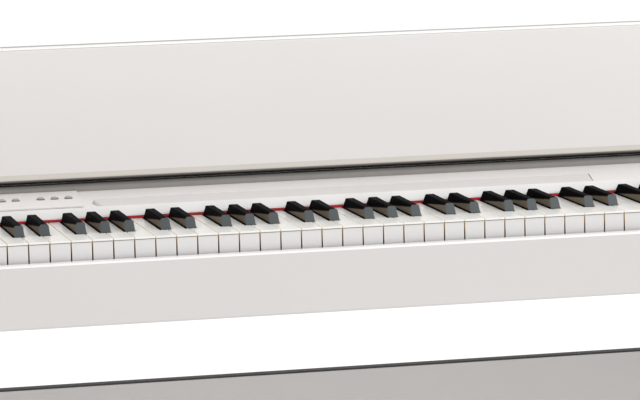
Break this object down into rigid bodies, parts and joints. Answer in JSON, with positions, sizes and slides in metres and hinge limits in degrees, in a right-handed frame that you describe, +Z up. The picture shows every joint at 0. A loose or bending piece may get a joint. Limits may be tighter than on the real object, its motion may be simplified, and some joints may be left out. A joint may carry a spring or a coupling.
{
  "type": "digital piano on stand",
  "caption": "Slim white home digital piano on a board stand, with a full weighted-size keyboard, a two-leaf folding lid standing open, a music groove, push buttons and pedals.",
  "frame": {"origin": "on the floor, under the middle of the instrument's outer box at rest (lid open)", "axes": "+X along the keyboard from bass to treble, +Y from the player to the back, +Z up"},
  "size_m": [1.36, 0.358, 0.9245],
  "materials": {
    "white_lacquer": "white lacquered board, satin",
    "white_plastic": "fine satin moulding",
    "key_white": "warm white, semi-gloss",
    "key_black": "satin black",
    "red_felt": "red wool felt",
    "rail_grey": "grey, satin",
    "button_taupe": "taupe, satin",
    "board_grey": "light grey laminate with dark edge",
    "steel": "brushed",
    "brass": "polished",
    "black_plastic": "matte",
    "circuit_green": "solder mask"
  },
  "bodies": {
    "cabinet_and_stand": {"bottom_board": "white_lacquer", "front_rail": "white_lacquer", "side_arm_left": "white_lacquer", "side_arm_right": "white_lacquer", "key_block_left": "white_lacquer", "key_block_right": "white_lacquer", "rear_cover": "white_plastic", "top_panel": "white_plastic", "control_plate": "white_plastic", "felt_strip": "red_felt", "lid_hinge_rail": "rail_grey", "key_chassis": "black_plastic", "circuit_board": "circuit_green", "speaker_left": "black_plastic", "speaker_right": "black_plastic", "jack_box": "white_plastic", "power_inlet": "black_plastic", "stand_side_left": "white_lacquer", "stand_side_right": "white_lacquer", "stand_foot_left": "white_lacquer", "stand_foot_right": "white_lacquer", "stand_back_board": "board_grey", "pedal_rail": "white_lacquer", "pedal_box": "white_lacquer", "pedal_shaft": "steel"},
    "lid_rear": {"lid_rear_leaf": "white_lacquer", "lid_hinge": "steel", "lid_pivot_pin_left": "steel", "lid_pivot_pin_right": "steel"},
    "lid_front": {"lid_front_leaf": "white_lacquer"},
    "naturals_A0_B2": {"naturals_A0_B2": "key_white"},
    "naturals_C3_B3": {"naturals_C3_B3": "key_white"},
    "naturals_C5_B5": {"naturals_C5_B5": "key_white"},
    "naturals_C6_C8": {"naturals_C6_C8": "key_white"},
    "key_C4": {"key_C4": "key_white"},
    "key_D4": {"key_D4": "key_white"},
    "key_E4": {"key_E4": "key_white"},
    "key_F4": {"key_F4": "key_white"},
    "key_G4": {"key_G4": "key_white"},
    "key_A4": {"key_A4": "key_white"},
    "key_B4": {"key_B4": "key_white"},
    "sharps_A0_B2": {"sharps_A0_B2": "key_black"},
    "sharps_C3_B3": {"sharps_C3_B3": "key_black"},
    "sharps_C5_B5": {"sharps_C5_B5": "key_black"},
    "sharps_C6_C8": {"sharps_C6_C8": "key_black"},
    "key_Csharp4": {"key_Csharp4": "key_black"},
    "key_Dsharp4": {"key_Dsharp4": "key_black"},
    "key_Fsharp4": {"key_Fsharp4": "key_black"},
    "key_Gsharp4": {"key_Gsharp4": "key_black"},
    "key_Asharp4": {"key_Asharp4": "key_black"},
    "button_1": {"button_1": "button_taupe"},
    "button_2": {"button_2": "button_taupe"},
    "button_3": {"button_3": "button_taupe"},
    "button_4": {"button_4": "button_taupe"},
    "button_5": {"button_5": "button_taupe"},
    "button_6": {"button_6": "button_taupe"},
    "pedal_soft": {"pedal_soft": "brass"},
    "pedal_sostenuto": {"pedal_sostenuto": "brass"},
    "pedal_damper": {"pedal_damper": "brass"},
    "pedal_adjuster": {"pedal_adjuster": "black_plastic"}
  },
  "joints": [
    {"name": "lid_rear_hinge", "type": "hinge", "parent": "cabinet_and_stand", "child": "lid_rear", "pos_m": [0, 0.145, 0.7705], "axis": [1, 0, 0], "range_deg": [0, 95.5]},
    {"name": "lid_fold_hinge", "type": "hinge", "parent": "lid_rear", "child": "lid_front", "pos_m": [0, 0.16318, 0.9229], "axis": [1, 0, 0], "range_deg": [0, 180]},
    {"name": "naturals_A0_B2_hinge", "type": "hinge", "parent": "cabinet_and_stand", "child": "naturals_A0_B2", "pos_m": [-0.4239, 0.082, 0.722], "axis": [1, 0, 0], "range_deg": [0, 2.36], "stiffness_Nm_per_rad": 16, "springref_deg": -18.33},
    {"name": "naturals_C3_B3_hinge", "type": "hinge", "parent": "cabinet_and_stand", "child": "naturals_C3_B3", "pos_m": [-0.15308, 0.082, 0.722], "axis": [1, 0, 0], "range_deg": [0, 2.36], "stiffness_Nm_per_rad": 7, "springref_deg": -18.33},
    {"name": "naturals_C5_B5_hinge", "type": "hinge", "parent": "cabinet_and_stand", "child": "naturals_C5_B5", "pos_m": [0.17662, 0.082, 0.722], "axis": [1, 0, 0], "range_deg": [0, 2.36], "stiffness_Nm_per_rad": 7, "springref_deg": -18.33},
    {"name": "naturals_C6_C8_hinge", "type": "hinge", "parent": "cabinet_and_stand", "child": "naturals_C6_C8", "pos_m": [0.43568, 0.082, 0.722], "axis": [1, 0, 0], "range_deg": [0, 2.36], "stiffness_Nm_per_rad": 15, "springref_deg": -18.33},
    {"name": "key_C4_hinge", "type": "hinge", "parent": "cabinet_and_stand", "child": "key_C4", "pos_m": [-0.05888, 0.082, 0.722], "axis": [1, 0, 0], "range_deg": [0, 2.36], "stiffness_Nm_per_rad": 1, "springref_deg": -18.33},
    {"name": "key_D4_hinge", "type": "hinge", "parent": "cabinet_and_stand", "child": "key_D4", "pos_m": [-0.03533, 0.082, 0.722], "axis": [1, 0, 0], "range_deg": [0, 2.36], "stiffness_Nm_per_rad": 1, "springref_deg": -18.33},
    {"name": "key_E4_hinge", "type": "hinge", "parent": "cabinet_and_stand", "child": "key_E4", "pos_m": [-0.01178, 0.082, 0.722], "axis": [1, 0, 0], "range_deg": [0, 2.36], "stiffness_Nm_per_rad": 1, "springref_deg": -18.33},
    {"name": "key_F4_hinge", "type": "hinge", "parent": "cabinet_and_stand", "child": "key_F4", "pos_m": [0.01177, 0.082, 0.722], "axis": [1, 0, 0], "range_deg": [0, 2.36], "stiffness_Nm_per_rad": 1, "springref_deg": -18.33},
    {"name": "key_G4_hinge", "type": "hinge", "parent": "cabinet_and_stand", "child": "key_G4", "pos_m": [0.03532, 0.082, 0.722], "axis": [1, 0, 0], "range_deg": [0, 2.36], "stiffness_Nm_per_rad": 1, "springref_deg": -18.33},
    {"name": "key_A4_hinge", "type": "hinge", "parent": "cabinet_and_stand", "child": "key_A4", "pos_m": [0.05887, 0.082, 0.722], "axis": [1, 0, 0], "range_deg": [0, 2.36], "stiffness_Nm_per_rad": 1, "springref_deg": -18.33},
    {"name": "key_B4_hinge", "type": "hinge", "parent": "cabinet_and_stand", "child": "key_B4", "pos_m": [0.08242, 0.082, 0.722], "axis": [1, 0, 0], "range_deg": [0, 2.36], "stiffness_Nm_per_rad": 1, "springref_deg": -18.33},
    {"name": "sharps_A0_B2_hinge", "type": "hinge", "parent": "cabinet_and_stand", "child": "sharps_A0_B2", "pos_m": [-0.4201, 0.0605, 0.71], "axis": [1, 0, 0], "range_deg": [0, 2.9], "stiffness_Nm_per_rad": 5.5, "springref_deg": -22.92},
    {"name": "sharps_C3_B3_hinge", "type": "hinge", "parent": "cabinet_and_stand", "child": "sharps_C3_B3", "pos_m": [-0.15248, 0.0605, 0.71], "axis": [1, 0, 0], "range_deg": [0, 2.9], "stiffness_Nm_per_rad": 2.5, "springref_deg": -22.92},
    {"name": "sharps_C5_B5_hinge", "type": "hinge", "parent": "cabinet_and_stand", "child": "sharps_C5_B5", "pos_m": [0.17723, 0.0605, 0.71], "axis": [1, 0, 0], "range_deg": [0, 2.9], "stiffness_Nm_per_rad": 2.5, "springref_deg": -22.92},
    {"name": "sharps_C6_C8_hinge", "type": "hinge", "parent": "cabinet_and_stand", "child": "sharps_C6_C8", "pos_m": [0.4245, 0.0605, 0.71], "axis": [1, 0, 0], "range_deg": [0, 2.9], "stiffness_Nm_per_rad": 5, "springref_deg": -22.92},
    {"name": "key_Csharp4_hinge", "type": "hinge", "parent": "cabinet_and_stand", "child": "key_Csharp4", "pos_m": [-0.0497, 0.0605, 0.71], "axis": [1, 0, 0], "range_deg": [0, 2.9], "stiffness_Nm_per_rad": 0.5, "springref_deg": -22.92},
    {"name": "key_Dsharp4_hinge", "type": "hinge", "parent": "cabinet_and_stand", "child": "key_Dsharp4", "pos_m": [-0.02095, 0.0605, 0.71], "axis": [1, 0, 0], "range_deg": [0, 2.9], "stiffness_Nm_per_rad": 0.5, "springref_deg": -22.92},
    {"name": "key_Fsharp4_hinge", "type": "hinge", "parent": "cabinet_and_stand", "child": "key_Fsharp4", "pos_m": [0.01975, 0.0605, 0.71], "axis": [1, 0, 0], "range_deg": [0, 2.9], "stiffness_Nm_per_rad": 0.5, "springref_deg": -22.92},
    {"name": "key_Gsharp4_hinge", "type": "hinge", "parent": "cabinet_and_stand", "child": "key_Gsharp4", "pos_m": [0.0471, 0.0605, 0.71], "axis": [1, 0, 0], "range_deg": [0, 2.9], "stiffness_Nm_per_rad": 0.5, "springref_deg": -22.92},
    {"name": "key_Asharp4_hinge", "type": "hinge", "parent": "cabinet_and_stand", "child": "key_Asharp4", "pos_m": [0.07445, 0.0605, 0.71], "axis": [1, 0, 0], "range_deg": [0, 2.9], "stiffness_Nm_per_rad": 0.5, "springref_deg": -22.92},
    {"name": "button_1_press", "type": "slide", "parent": "cabinet_and_stand", "child": "button_1", "axis": [0, 0, -1], "range_m": [0, 0.001], "stiffness_N_per_m": 400, "springref_m": -0.002},
    {"name": "button_2_press", "type": "slide", "parent": "cabinet_and_stand", "child": "button_2", "axis": [0, 0, -1], "range_m": [0, 0.001], "stiffness_N_per_m": 400, "springref_m": -0.002},
    {"name": "button_3_press", "type": "slide", "parent": "cabinet_and_stand", "child": "button_3", "axis": [0, 0, -1], "range_m": [0, 0.001], "stiffness_N_per_m": 400, "springref_m": -0.002},
    {"name": "button_4_press", "type": "slide", "parent": "cabinet_and_stand", "child": "button_4", "axis": [0, 0, -1], "range_m": [0, 0.001], "stiffness_N_per_m": 400, "springref_m": -0.002},
    {"name": "button_5_press", "type": "slide", "parent": "cabinet_and_stand", "child": "button_5", "axis": [0, 0, -1], "range_m": [0, 0.001], "stiffness_N_per_m": 400, "springref_m": -0.002},
    {"name": "button_6_press", "type": "slide", "parent": "cabinet_and_stand", "child": "button_6", "axis": [0, 0, -1], "range_m": [0, 0.001], "stiffness_N_per_m": 400, "springref_m": -0.002},
    {"name": "pedal_soft_hinge", "type": "hinge", "parent": "cabinet_and_stand", "child": "pedal_soft", "pos_m": [-0.07, 0.0597, 0.066], "axis": [1, 0, 0], "range_deg": [0, 5.8], "stiffness_Nm_per_rad": 12, "springref_deg": -14.32},
    {"name": "pedal_sostenuto_hinge", "type": "hinge", "parent": "cabinet_and_stand", "child": "pedal_sostenuto", "pos_m": [0, 0.0597, 0.066], "axis": [1, 0, 0], "range_deg": [0, 5.8], "stiffness_Nm_per_rad": 12, "springref_deg": -14.32},
    {"name": "pedal_damper_hinge", "type": "hinge", "parent": "cabinet_and_stand", "child": "pedal_damper", "pos_m": [0.07, 0.0597, 0.066], "axis": [1, 0, 0], "range_deg": [0, 5.8], "stiffness_Nm_per_rad": 12, "springref_deg": -14.32},
    {"name": "pedal_adjuster_height", "type": "slide", "parent": "cabinet_and_stand", "child": "pedal_adjuster", "axis": [0, 0, 1], "range_m": [0, 0.01]}
  ]
}
